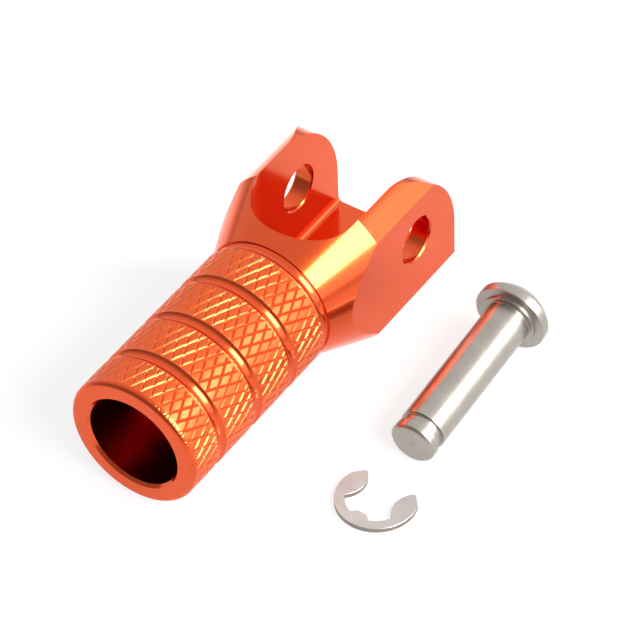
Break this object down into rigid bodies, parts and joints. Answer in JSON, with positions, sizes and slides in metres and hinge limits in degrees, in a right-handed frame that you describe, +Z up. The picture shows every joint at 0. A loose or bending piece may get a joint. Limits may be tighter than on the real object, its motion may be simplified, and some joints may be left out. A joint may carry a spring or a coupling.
{
  "type": "folding gear lever peg",
  "caption": "Knurled tubular toe peg with a forked pivot end, supplied loose with its headed pivot pin and E-clip.",
  "frame": {"origin": "the middle of the pivot bore, halfway between the ears", "axes": "+X along the pivot bore towards the side the loose pin and clip lie on, -Y along the barrel to its open end, +Z up from the surface the pieces lie on"},
  "size_m": [0.0536, 0.0736, 0.0258],
  "materials": {
    "anodised_aluminium": "satin orange anodised, turned and milled",
    "turned_stainless": "turned stainless steel",
    "spring_steel": "stamped stainless spring steel, tumbled"
  },
  "bodies": {
    "peg": {"peg_body": "anodised_aluminium"},
    "pin": {"pivot_pin": "turned_stainless"},
    "clip": {"e_clip": "spring_steel"}
  },
  "joints": [
    {"name": "pin_lift", "type": "slide", "parent": "peg", "child": "pin", "axis": [0, 0, 1], "range_m": [0, 0.05]},
    {"name": "clip_lift", "type": "slide", "parent": "peg", "child": "clip", "axis": [0, 0, 1], "range_m": [0, 0.06]}
  ]
}
